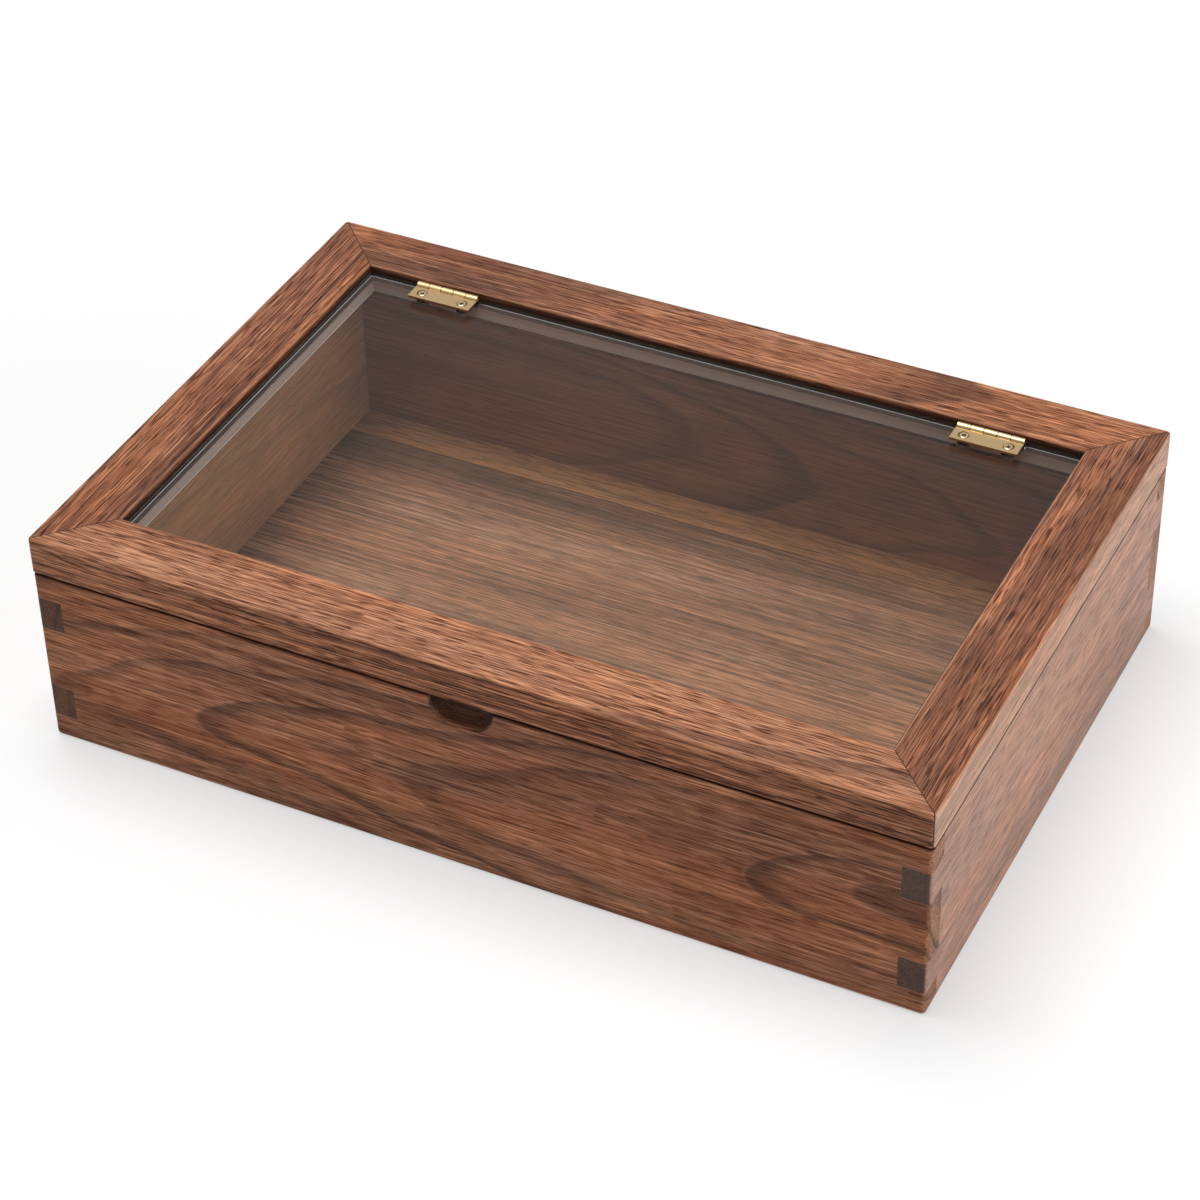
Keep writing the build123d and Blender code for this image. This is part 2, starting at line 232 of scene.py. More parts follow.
def walnut_figure():
    """Node group. Trunk is the point in the trunk in metres, x up the trunk and the pith on y = z = 0;
    the rings use it. Run is the point along the board's own length; the fibres use it, so that pores
    stay long dashes. End tells how squarely the surface cuts across the grain. Gives the colour, the
    roughness and the height of the surface. A ring's number is the distance from the pith divided by
    the ring's width, and autumn is the last part of each."""
    tree = bpy.data.node_groups.new("walnut figure", "ShaderNodeTree")
    face = tree.interface
    for name in ("Trunk", "Run"):
        face.new_socket(name, in_out="INPUT", socket_type="NodeSocketVector")
    for name, start in (
        ("End", 0.0),
        ("Year", 0.004),
        ("Sway", 0.008),
        ("Bands", 1.0),
        ("Streaks", 1.0),
        ("Dashes", 1.0),
        ("Tone", 0.0),
    ):
        face.new_socket(name, in_out="INPUT", socket_type="NodeSocketFloat").default_value = start
    face.new_socket("Color", in_out="OUTPUT", socket_type="NodeSocketColor")
    for name in ("Roughness", "Height"):
        face.new_socket(name, in_out="OUTPUT", socket_type="NodeSocketFloat")
    b = Bench(tree)
    given = tree.nodes.new("NodeGroupInput").outputs
    trunk = given["Trunk"]

    # the trunk isn't straight: every ring wanders a few millimetres as it goes up
    wander = b.noise(b.vector("MULTIPLY", trunk, WANDER), 2, 0.45, True)
    wander = b.vector("SUBTRACT", wander, (0.5, 0.5, 0.5))
    bent = b.vector("ADD", trunk, b.vector("SCALE", wander, scale=given["Sway"]))
    drift = b.vector("SCALE", wander, scale=b.maths("MULTIPLY", given["Sway"], FIBRE_SWAY))
    run = b.vector("ADD", given["Run"], drift)
    reach = b.vector("LENGTH", b.vector("MULTIPLY", bent, (0, 1, 1)))
    years = b.maths("DIVIDE", reach, given["Year"])
    uneven = b.noise(b.maths("MULTIPLY", years, UNEVEN_PITCH), 2, 0.5, noise_dimensions="1D")
    years = b.maths("ADD", years, b.maths("MULTIPLY", b.maths("SUBTRACT", uneven, 0.5), UNEVEN_YEARS))
    season = b.maths("FRACT", years)
    this_year = b.maths("FLOOR", years)
    year_tone = b.node("TexWhiteNoise", {"W": this_year}, noise_dimensions="1D").outputs["Value"]
    late, over = b.spread(season, AUTUMN_START, AUTUMN_FULL), b.spread(season, AUTUMN_END, 1.0, 1, 0)
    autumn = b.maths("MULTIPLY", late, over)
    autumn = b.maths("MULTIPLY", autumn, b.spread(year_tone, 0, 1, 0.2, 1.0))

    # clouds and streaks follow the rings; strands and fibres, each finer than the last, run along the board
    cloud = b.noise(b.vector("MULTIPLY", bent, CLOUD), 2, 0.5)
    streak = b.noise(b.vector("MULTIPLY", bent, STREAK), 3, 0.6)
    strand = b.noise(b.vector("MULTIPLY", run, STRAND), 3, 0.6)
    fibre = b.noise(b.vector("MULTIPLY", run, FIBRE), 1, 0.5)
    glow = b.noise(b.vector("MULTIPLY", trunk, GLOW), 2, 0.5)

    # together they say how deep the brown is, from 0, pale, to 1, dark
    depth = b.spread(cloud, 0.3, 0.7, -CLOUD_DEPTH, CLOUD_DEPTH, False)
    depth = b.maths("ADD", depth, b.spread(streak, 0.3, 0.7, -STREAK_DEPTH, STREAK_DEPTH, False))
    depth = b.maths("ADD", depth, b.spread(strand, 0.32, 0.68, -STRAND_DEPTH, STRAND_DEPTH, False))
    depth = b.maths("MULTIPLY_ADD", depth, given["Streaks"], MIDDLE_DEPTH)
    open_cut = b.maths("MULTIPLY", given["Dashes"], b.spread(given["End"], 0, 1, 1, 0.25))
    threads = b.spread(fibre, 0.34, 0.66, -FIBRE_DEPTH, FIBRE_DEPTH, False)
    depth = b.maths("MULTIPLY_ADD", threads, open_cut, depth)
    depth = b.maths("ADD", depth, given["Tone"], clamp=True)
    colour = b.ramp(depth, ((0.0, PALE), (0.34, WARM), (0.66, BROWN), (1.0, DARK)))
    shine = b.spread(glow, 0.3, 0.7, 0.92, 1.08, False)
    shine = b.node("CombineColor", {0: shine, 1: shine, 2: shine}).outputs[0]
    colour = b.blend(1.0, colour, shine, "MULTIPLY")

    # broad patches lean to a red brown or to a purple one
    hue = b.spread(b.noise(b.vector("MULTIPLY", bent, HUE), 2, 0.5), 0.36, 0.64)
    colour = b.blend(1.0, colour, b.blend(hue, RED_TINT, PURPLE_TINT), "MULTIPLY")

    # the autumn wood darkens and cools the colour
    bands = b.maths("MULTIPLY", autumn, given["Bands"])
    colour = b.blend(bands, colour, b.blend(1.0, colour, AUTUMN_TINT, "MULTIPLY"))

    # pores: short thin dashes, more of them where the year began
    tubes = b.noise(b.vector("MULTIPLY", run, TUBE), 0, 0.5)
    tubes = b.maths("ADD", tubes, b.spread(season, 0.0, 0.8, 0.03, -0.02))
    pores = b.spread(tubes, PORE_START, PORE_FULL)
    sunk = b.maths("MULTIPLY", b.maths("MULTIPLY", pores, PORE_SHADE), open_cut, clamp=True)
    colour = b.blend(sunk, colour, b.blend(1.0, colour, PORE_TINT, "MULTIPLY"))

    rough = b.maths("ADD", b.spread(fibre, 0.3, 0.7, 0.42, 0.52, False), b.maths("MULTIPLY", pores, 0.2))
    rough = b.maths("ADD", rough, b.maths("MULTIPLY", given["End"], 0.2))
    height = b.maths("SUBTRACT", b.maths("MULTIPLY", fibre, 0.5), pores)
    out = tree.nodes.new("NodeGroupOutput").inputs
    for name, value in (("Color", colour), ("Roughness", rough), ("Height", height)):
        b.wire(out[name], value)
    return tree


figure = walnut_figure()
print("walnut figure:", len(figure.nodes), "nodes")

# %% [markdown]
# ## Cutting a board from the trunk
# Each board is cut from its own place in the trunk. Far from the pith the rings are nearly straight;
# where the board leans across them, they open into the long arches that a joiner calls cathedrals. So a
# finish says which way the grain runs, how far off the pith lies, and how the board leans.

# %% A board's finish
# Colours of dark joint lines and painted shade, of a painted highlight, and of a painted sheen on faces
# that look along x, with how much of that sheen is mixed in.
SHADE, GLINT, SIDE_SHEEN_PALE = (0.030, 0.013, 0.008), (0.80, 0.73, 0.64), (0.52, 0.41, 0.335)
SIDE_SHEEN_AMOUNT = 0.25
STAVE_TINT, STAVE_SHIFT = (1.04, 0.96, 0.74), (0.31, 0.006, 0.021)
STAVE_LIGHTER, STAVE_CALMER = 0.30, 0.85
PORE_DEPTH = 0.10 * MM


def walnut(
    name,
    grain,
    pith,
    lean=(0.0, 0.0, 0.0),
    year=4.0,
    sway=8.0,
    bands=0.7,
    streaks=1.0,
    dashes=1.0,
    tone=0.0,
    satin=0.15,
    painted_side_light=0.0,
    painted_front_shade=0.0,
    painted_arris_highlight=0.0,
    end_tint=(0.30, 0.34, 0.40),
    shade=None,
    glint=None,
    wash=None,
    stave=None,
):
    """A walnut board. grain is the axis that the fibres follow, pith the trunk's middle seen from the
    board in mm, and lean how the board is turned in the trunk in degrees. year and sway are the rings'
    width and wander in mm. bands, streaks and dashes say how strongly the rings, the long streaks and
    the short pores show, and tone how dark the board is. satin is how much the oiled surface mirrors.
    flank is a painted sheen that lightens the faces that look along x, and apron a painted shade
    that darkens those that look along y. worn is how pale a painted highlight makes the rounded
    arrises, fullest on those that face the opening. end_tint multiplies the colour of an end, which
    soaks up more oil. shade darkens the places that it names: the dark joint lines and the floor's
    darker strip, and painted shade elsewhere. glint paints a highlight on the places that it names,
    wash mixes in a plain tint by the amount that comes fourth, and stave gives a second stave its own
    figure."""
    made, b = fresh_material(name)
    spot = b.node("TexCoord").outputs
    along = (0, 0, math.radians(-90) if grain == "y" else 0)
    turned_in_trunk = [math.radians(v) + base for v, base in zip(lean, along)]
    start = [v * MM for v in pith]

    def placed(rotation):
        """The place on the board, turned and then moved to where the board lies in the trunk."""
        sockets = {"Vector": spot["Object"], "Location": start, "Rotation": rotation}
        return b.node("Mapping", sockets, vector_type="POINT").outputs[0]

    trunk, run = placed(turned_in_trunk), placed(along)
    if stave:
        step = stave(b, spot["Object"])
        shift = b.vector("SCALE", STAVE_SHIFT, scale=step)
        trunk, run = b.vector("ADD", trunk, shift), b.vector("ADD", run, shift)
        tone = b.maths("MULTIPLY_ADD", step, -STAVE_LIGHTER, tone)
        bands = b.maths("MULTIPLY_ADD", step, -STAVE_CALMER * bands, bands)
    facing = b.parts(spot["Normal"])
    # Painted sheen lightens the faces that look along x.
    side_sheen_mask = b.spread(b.maths("ABSOLUTE", facing[0]), 0.6, 0.9)
    if painted_side_light:
        tone = b.maths("MULTIPLY_ADD", side_sheen_mask, -painted_side_light, tone)
    # Painted shade darkens the faces that look along y.
    if painted_front_shade:
        front_shade_mask = b.spread(b.maths("ABSOLUTE", facing[1]), 0.6, 0.9)
        tone = b.maths("MULTIPLY_ADD", front_shade_mask, painted_front_shade, tone)
    across_grain = b.vector("DOT_PRODUCT", spot["Normal"], (1, 0, 0) if grain == "x" else (0, 1, 0))
    end = b.spread(b.maths("ABSOLUTE", across_grain), 0.55, 0.9)
    wood = b.node("Group", node_tree=figure)
    for key, value in (
        ("Trunk", trunk),
        ("Run", run),
        ("End", end),
        ("Year", year * MM),
        ("Sway", sway * MM),
        ("Bands", bands),
        ("Streaks", streaks),
        ("Dashes", dashes),
        ("Tone", tone),
    ):
        b.wire(wood.inputs[key], value)
    colour = wood.outputs["Color"]
    if wash:
        colour = b.blend(b.spread(end, 0, 1, wash[3], 0), colour, wash[:3])
    if stave:
        colour = b.blend(step, colour, b.blend(1.0, colour, STAVE_TINT, "MULTIPLY"))
    # Painted sheen: the faces that look along x are mixed towards a pale colour.
    if painted_side_light:
        colour = b.blend(b.maths("MULTIPLY", side_sheen_mask, SIDE_SHEEN_AMOUNT), colour, SIDE_SHEEN_PALE)
    colour = b.blend(end, colour, b.blend(1.0, colour, end_tint, "MULTIPLY"))
    # Painted highlight on the rounded arrises, fullest on those that face the opening.
    if painted_arris_highlight:
        arris = b.maths("MULTIPLY", b.spread(facing[2], 0.08, 0.3), b.spread(facing[2], 0.93, 0.99, 1, 0))
        outward = b.vector("DOT_PRODUCT", b.vector("MULTIPLY", spot["Object"], (1, 1, 0)), spot["Normal"])
        arris = b.maths("MULTIPLY", arris, b.spread(outward, -0.02, 0.0, 1, 0.3))
        colour = b.blend(b.maths("MULTIPLY", arris, painted_arris_highlight), colour, PALE)
    # Dark joint lines and painted shade, where the given function says.
    if shade:
        colour = b.blend(shade(b, spot["Object"]), colour, SHADE)
    # Painted highlight where the given function says.
    if glint:
        colour = b.blend(glint(b, spot["Object"]), colour, GLINT)
    bump = b.node("Bump", {"Height": wood.outputs["Height"], "Strength": 0.4, "Distance": PORE_DEPTH})
    shader = b.node(
        "BsdfPrincipled",
        {
            "Base Color": colour,
            "Roughness": wood.outputs["Roughness"],
            "Normal": bump.outputs[0],
            "Specular IOR Level": satin,
        },
    )
    b.node("OutputMaterial", {"Surface": shader.outputs[0]})
    return made


# %% [markdown]
# ## Joints, hollows and painted shade
# Where two rails meet in a mitre the glue line shows as a dark hairline. Shade is painted into the
# hollow of the thumb scoop, darker towards its top under the lid, into the mouth of the seam between
# lid and case, low on the rails' walls beside the glass and on top of the ledge strips, and a highlight
# is painted on the lower arris of the side ledge strips. The floor is glued up from two staves, a wide
# one and a narrow paler one along the back.
# Each of these marks is a small function of the place on the board, 0 where the wood is plain and near
# 1 where the mark is full.

# %% Joint lines, painted shade and highlight, and the floor's stave
SCOOP_HALF, SCOOP_REACH, SCOOP_FLOOR = 11.6 * MM, 6.5 * MM, 10.5 * MM
STAVE_EDGE = 77.4 * MM


def mitre_line(b, at):
    """Dark on the mitre planes, on which |x| - |y| is the same as at the corners of the glass opening."""
    parts = b.parts(at)
    gap = b.maths("SUBTRACT", b.maths("ABSOLUTE", parts[0]), b.maths("ABSOLUTE", parts[1]))
    off = b.maths("MULTIPLY", b.maths("SUBTRACT", gap, opening_x - opening_y), math.sqrt(0.5))
    return b.spread(b.maths("ABSOLUTE", off), 0.08 * MM, 0.26 * MM, 0.9, 0.0)


def seam_shade(b, at):
    """Painted shade along the outer border of the case's top edge: the dark line in the mouth of the
    seam."""
    parts = b.parts(at)
    in_x = b.maths("SUBTRACT", half_case_length, b.maths("ABSOLUTE", parts[0]))
    in_y = b.maths("SUBTRACT", half_case_width, b.maths("ABSOLUTE", parts[1]))
    outside = b.maths("MINIMUM", b.spread(in_x, -0.15 * MM, 0.05 * MM), b.spread(in_y, 0.1 * MM, 0.35 * MM))
    inward = b.spread(b.maths("MINIMUM", in_x, in_y), 1.4 * MM, 2.4 * MM, 1, 0)
    border = b.maths("MULTIPLY", outside, inward)
    top = b.spread(parts[2], seam_height - 0.32 * MM, seam_height - 0.18 * MM, 0, 0.92)
    return b.maths("MULTIPLY", border, top)


def lid_joints_and_wall_shade(b, at):
    """Dark on the mitres' glue lines, and painted shade low on the walls beside the glass, half as dark
    at and below the ledge.
    """
    parts = b.parts(at)
    in_x = b.maths("SUBTRACT", b.maths("ABSOLUTE", parts[0]), opening_x)
    in_y = b.maths("SUBTRACT", b.maths("ABSOLUTE", parts[1]), opening_y)
    # Painted shade on the rails' inner walls, from a little above the glass downward.
    wall = b.spread(b.maths("MAXIMUM", in_x, in_y), 0.03 * MM, 0.12 * MM, 0.9, 0)
    under_rim = b.spread(parts[2], glass_high.z + 0.2 * MM, glass_high.z + 1.5 * MM, 1, 0)
    over_ledge = b.spread(parts[2], ledge_high - 0.1 * MM, ledge_high, 0.5, 1)
    wall = b.maths("MULTIPLY", b.maths("MULTIPLY", wall, under_rim), over_ledge)
    return b.maths("MAXIMUM", mitre_line(b, at), wall)


def ledge_top_shade(b, at):
    """Painted shade on top of the ledge strips, under the edge of the glass."""
    return b.spread(b.parts(at)[2], ledge_high - 0.2 * MM, ledge_high - 0.1 * MM, 0, 0.93)


def ledge_arris_highlight(b, at):
    """Painted highlight, at 0.7, on the lower arris of the ledge strips."""
    return b.spread(b.parts(at)[2], ledge_low + 0.35 * MM, ledge_low + 0.55 * MM, 0.7, 0)


def scoop_shade(b, at):
    """Painted shade in the scoop's hollow behind the front board's face, within its width and above its
    floor, darker towards the top; joined with the painted shade in the seam.
    """
    parts = b.parts(at)
    inward = b.spread(parts[1], -half_case_width + 0.1 * MM, -half_case_width + 1.6 * MM)
    back_edge, low_edge = -half_case_width + SCOOP_REACH, seam_height - SCOOP_FLOOR
    near = b.spread(parts[1], back_edge, back_edge + 0.5 * MM, 1, 0)
    aside = b.spread(b.maths("ABSOLUTE", parts[0]), SCOOP_HALF, SCOOP_HALF + 0.6 * MM, 1, 0)
    above = b.spread(parts[2], low_edge, low_edge + 1 * MM)
    deep = b.spread(parts[2], low_edge + 1 * MM, seam_height - 1 * MM, 0.6, 0.95)
    bowl = b.maths("MULTIPLY", b.maths("MULTIPLY", inward, near), b.maths("MULTIPLY", aside, above))
    return b.maths("MAXIMUM", b.maths("MULTIPLY", bowl, deep), seam_shade(b, at))


def back_stave(b, at):
    """1 in the narrow stave along the back of the floor, 0 in the wide one."""
    return b.spread(b.parts(at)[1], STAVE_EDGE, STAVE_EDGE + 0.3 * MM)


def glue_line(b, at):
    """Dark on the glue line between the floor's staves, and growing a little darker over the 37 mm in
    front of it."""
    depth = b.parts(at)[1]
    off = b.maths("ABSOLUTE", b.maths("SUBTRACT", depth, STAVE_EDGE))
    line = b.spread(off, 0.15 * MM, 0.4 * MM, 0.6, 0)
    in_front = b.spread(depth, STAVE_EDGE - 0.1 * MM, STAVE_EDGE + 0.2 * MM, 1, 0)
    near_stave_dark = b.maths("MULTIPLY", b.spread(depth, 40 * MM, 77 * MM, 0, 0.22), in_front)
    return b.maths("MAXIMUM", line, near_stave_dark)


# %% [markdown]
# ## The boards and rails
# The front board has the liveliest figure, with arches sweeping through its right half. The lid's front
# rail is the brightest piece, straight in the grain and full of open pores. The side boards are quieter
# and paler, and the strips that carry the glass are greyer than the rest. The lid's right rail has a
# painted sheen on its side face, its front rail painted shade on its front face, and all four rails a
# painted highlight on their rounded arrises.

# %% Dress the wood
PALE_ENDS, DARK_ENDS = (0.72, 0.95, 1.2), (0.20, 0.22, 0.25)
boards = {
    "front_board": walnut(
        "walnut front", grain="x", pith=(40, 66, -30), lean=(0, 3.0, 6.5), year=6.0, sway=18, bands=0.8,
        streaks=1.1, dashes=0.9, tone=0.01, satin=0.1, end_tint=PALE_ENDS, shade=scoop_shade,
    ),
    "back_board": walnut(
        "walnut back", grain="x", pith=(-30, -52, -26), lean=(0, -2, 6), year=6.0, sway=18, bands=0.8,
        streaks=0.8, dashes=0.5, tone=-0.10, end_tint=PALE_ENDS, shade=seam_shade,
        wash=(0.27, 0.185, 0.11, 0.35),
    ),
    "left_board": walnut(
        "walnut left side", grain="y", pith=(15, 50, 12), lean=(0, 2, 3), year=6.0, sway=12, bands=0.6,
        streaks=0.8, dashes=0.6, tone=-0.10, shade=seam_shade, wash=(0.38, 0.24, 0.11, 0.42),
    ),
    "right_board": walnut(
        "walnut right side", grain="y", pith=(-25, 70, 30), lean=(0, 1.5, -2), year=5.0, sway=8, bands=0.5,
        streaks=0.9, dashes=1.0, tone=-0.02, satin=0.5, end_tint=DARK_ENDS, shade=seam_shade,
        wash=(0.38, 0.32, 0.28, 0.2),
    ),
    "floor_panel": walnut(
        "walnut floor", grain="x", pith=(10, 33, 85), lean=(0, 0.8, 1.5), year=3.6, sway=5, bands=0.6,
        streaks=2.1, dashes=1.0, tone=0.0, shade=glue_line, stave=back_stave,
        wash=(0.36, 0.265, 0.175, 0.22),
    ),
    "lid_front_rail": walnut(
        "walnut lid front", grain="x", pith=(70, 110, 60), lean=(0, 1.2, 1.5), year=4.2, sway=4, bands=0.9,
        streaks=1.2, dashes=1.25, tone=-0.125, satin=0.1, painted_front_shade=0.12, painted_arris_highlight=0.7, shade=lid_joints_and_wall_shade,
    ),
    "lid_back_rail": walnut(
        "walnut lid back", grain="x", pith=(-60, -95, 50), lean=(0, -1.5, 1.2), year=4.0, sway=4,
        bands=1.0, streaks=1.2, dashes=1.25, tone=0.02, painted_arris_highlight=0.3, shade=lid_joints_and_wall_shade,
    ),
    "lid_left_rail": walnut(
        "walnut lid left", grain="y", pith=(25, 90, 55), lean=(0, 1.8, -3.0), year=4.4, sway=5, bands=0.9,
        streaks=1.2, dashes=1.25, tone=0.12, painted_arris_highlight=0.3, shade=lid_joints_and_wall_shade,
    ),
    "lid_right_rail": walnut(
        "walnut lid right", grain="y", pith=(-45, 75, 60), lean=(0, 2.2, 4.0), year=4.0, sway=6, bands=0.6,
        streaks=1.1, dashes=1.3, tone=0.09, satin=0.2, painted_side_light=0.48, painted_arris_highlight=0.7, shade=lid_joints_and_wall_shade,
    ),
    "mitre_tongues": walnut(
        "walnut tongues", grain="x", pith=(5, 60, 40), lean=(0, 0, 0), year=3.0, sway=4,
    ),
}
for side, grain in (("front", "x"), ("back", "x"), ("left", "y"), ("right", "y")):
    boards[side + "_ledge_strip"] = walnut(
        "walnut ledge " + side, grain=grain, pith=(12, 66, 33), lean=(0, 0.8, 0.6), year=2.6, sway=3,
        bands=0.2, streaks=0.4, dashes=0.3, tone=-0.2, shade=ledge_top_shade,
        glint=ledge_arris_highlight if grain == "y" else None, wash=(0.40, 0.36, 0.335, 0.75),
    )
for node_name, finish in boards.items():
    dress(node_name, finish)
print("wood finishes:", len(boards))

# %% [markdown]
# ## The glass
# The pane is real glass: it bends what is behind it a little and mirrors the pale room. Traced
# honestly, glass also stops the light of the lamps, and the box would be dark inside. So for the rays
# that carry that light it is made clear, and only the eye's rays see glass. The pane is coated, as
# show-case glass is, so it mirrors less than window glass. Its edge is dark when seen through the face,
# and the arris that was ground off shows as a white line.

# %% The pane
ARRIS = 0.22 * MM
PANE_TINT, LAMP_TINT = (0.955, 0.965, 0.96, 1), (0.93, 0.94, 0.93, 1)
GROUND, PAINTED_EDGE_DARK = (0.40, 0.41, 0.40, 1), (0.035, 0.038, 0.035, 1)
COATED_INDEX = 1.2


def clear_glass():
    """Glass for the eye, nothing for the lamps. Its upright edge is painted dark, and the ground arris
    round its face is white."""
    made, b = fresh_material("clear glass")
    spot = b.node("TexCoord").outputs
    parts = b.parts(spot["Object"])
    middle = (glass_low + glass_high) / 2
    run = b.maths("SUBTRACT", b.maths("ABSOLUTE", parts[0]), glass_high.x - ARRIS)
    rise = b.maths("ABSOLUTE", b.maths("SUBTRACT", parts[1], middle.y))
    rise = b.maths("SUBTRACT", rise, glass_high.y - middle.y - ARRIS)
    arris = b.spread(b.maths("MAXIMUM", run, rise), 0.0, 0.05 * MM)
    upright = b.maths("ABSOLUTE", b.parts(spot["Normal"])[2])
    upright = b.spread(upright, 0.3, 0.6, 1, 0)
    pane = b.node(
        "BsdfPrincipled",
        {"Base Color": PANE_TINT, "Roughness": 0.0, "IOR": COATED_INDEX, "Transmission Weight": 1.0},
    )
    ground = b.node("BsdfDiffuse", {"Color": GROUND})
    # Painted dark on the upright edge faces, standing in for the dark that the edge shows through the face.
    edge = b.node("BsdfPrincipled", {"Base Color": PAINTED_EDGE_DARK, "Roughness": 0.2})
    look = b.node("MixShader", {0: arris, 1: pane.outputs[0], 2: ground.outputs[0]})
    look = b.node("MixShader", {0: upright, 1: look.outputs[0], 2: edge.outputs[0]})
    path = b.node("LightPath").outputs
    lamp_ray = b.maths("MAXIMUM", path["Is Shadow Ray"], path["Is Diffuse Ray"])
    open_air = b.node("BsdfTransparent", {0: LAMP_TINT})
    mixed = b.node("MixShader", {0: lamp_ray, 1: look.outputs[0], 2: open_air.outputs[0]})
    b.node("OutputMaterial", {"Surface": mixed.outputs[0]})
    return made


dress("glass_pane", clear_glass())

# %% [markdown]
# ## Brass
# The hinges are satin brass: sheet that was drawn, sawn and brushed, so fine scratches run along it and
# blur what it mirrors. The scratches are noise stretched along the hinge, in the roughness. The top faces
# stay bright, and painted shade browns the faces that stand upright, a ring round each screw hole and
# the screws' pits, crosses and falling rims. The nuts under the glass are browned in a bath, so that
# they don't show against the wood.

# %% Brass finishes
# The third colour tints the places that are painted in shade.
BRASS, SCREW_BRASS, PAINTED_SHADE_TINT = (0.64, 0.455, 0.235), (0.64, 0.52, 0.34), (0.24, 0.18, 0.12)
BRUSH, SMEAR, SPECK = (60, 3000, 3000), (150, 400, 400), (900, 900, 900)
SATIN = 0.30
HOLE = 1.6 * MM


def brass(name, colour, rough, painted_side_light=0.35, tint_by=None, holes=None):
    """Satin brass. rough is its mean roughness, and flank how bright the faces that stand upright stay
    under the painted shade that browns them. tint_by names a mesh attribute, bright at 1 and painted
    brown shade at 0, and holes = (hinge x, half spacing, y, radius) paints a ring of shade round each
    screw hole: its distance from the hole's middle is measured in plan, with the left and right hinges
    and their two holes folded onto one."""
    made, b = fresh_material(name)
    spot = b.node("TexCoord").outputs
    lines = b.noise(b.vector("MULTIPLY", spot["Object"], BRUSH), 2, 0.5)
    smear = b.noise(b.vector("MULTIPLY", spot["Object"], SMEAR), 2, 0.5)
    shine = b.spread(b.maths("ADD", lines, smear), 0.7, 1.3, rough + 0.06, rough - 0.06, False)
    # Painted shade: the faces that stand upright keep less of the brass colour and turn brown.
    rise = b.maths("ABSOLUTE", b.parts(spot["Normal"])[2])
    bright = b.spread(rise, 0.35, 0.95, painted_side_light, 1.0)
    if tint_by:
        bright = b.node("Attribute", attribute_name=tint_by).outputs["Fac"]
    # Painted shade: a dark ring round each screw hole.
    if holes:
        parts = b.parts(spot["Object"])
        aside = b.maths("ABSOLUTE", b.maths("SUBTRACT", b.maths("ABSOLUTE", parts[0]), holes[0]))
        aside = b.maths("SUBTRACT", aside, holes[1])
        away = b.node("CombineXYZ", {0: aside, 1: b.maths("SUBTRACT", parts[1], holes[2])}).outputs[0]
        away = b.vector("LENGTH", away)
        ring = b.spread(away, holes[3] + 0.12 * MM, holes[3] + 0.32 * MM, 0.1, 1)
        bright = b.maths("MULTIPLY", bright, ring)
    bright = b.maths("MULTIPLY", bright, b.spread(smear, 0.3, 0.7, 0.92, 1.05, False))
    brown = tuple(c * v for c, v in zip(colour, PAINTED_SHADE_TINT))
    shader = b.node(
        "BsdfPrincipled",
        {"Base Color": b.blend(bright, brown, colour), "Metallic": 1.0, "Roughness": shine},
    )
    b.node("OutputMaterial", {"Surface": shader.outputs[0]})
    return made


def bronzed():
    """Brass browned in a bath, as hidden nuts are: a dull brown skin with a little metal in it."""
    made, b = fresh_material("bronzed brass")
    speck = b.noise(b.vector("MULTIPLY", b.node("TexCoord").outputs["Object"], SPECK), 2, 0.5)
    colour = b.ramp(speck, ((0.35, (0.075, 0.046, 0.032)), (0.65, (0.105, 0.066, 0.046))))
    shader = b.node("BsdfPrincipled", {"Base Color": colour, "Metallic": 0.15, "Roughness": 0.6})
    b.node("OutputMaterial", {"Surface": shader.outputs[0]})
    return made


screws_low, screws_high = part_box("pane_leaf_screws")
pin_low, pin_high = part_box("right_pane_hinge_pin")
hinge_x, holes_y = (pin_low.x + pin_high.x) / 2, (screws_low.y + screws_high.y) / 2
half_spacing = screws_high.x - HOLE - hinge_x
hinge_brass = brass("satin brass", BRASS, SATIN)
leaf_brass = brass("satin brass leaf", BRASS, SATIN, holes=(hinge_x, half_spacing, holes_y, HOLE))
screw_brass = brass("screw brass", SCREW_BRASS, SATIN, tint_by="bright")
nut_brass = bronzed()
for node_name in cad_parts:
    if "hinge" in node_name:
        dress(node_name, leaf_brass if "pane_leaf" in node_name else hinge_brass)
    elif "nut" in node_name:
        dress(node_name, nut_brass)
print("hinge at x mm:", round(hinge_x / MM, 2), "screws either side, mm:", round(half_spacing / MM, 2))

# %% [markdown]
# ## Turned screws and pins
# A screw is turned on a lathe, so it is one profile carried round an axis. A cylinder with a cone on
# top would do from far off, but the head is what catches the light: its rim falls away towards the
# countersink, a pit is turned in its middle, and a cross is punched into the pit. So the head is a fine
# grid of rings and spokes, and the height of each point is the rim's fall, or the depth of the pit or
# the cross where that is deeper. The screws go where the CAD screws are: their places are measured from
# the CAD node's own corners.

# %% A turned surface
SPOKES = 64


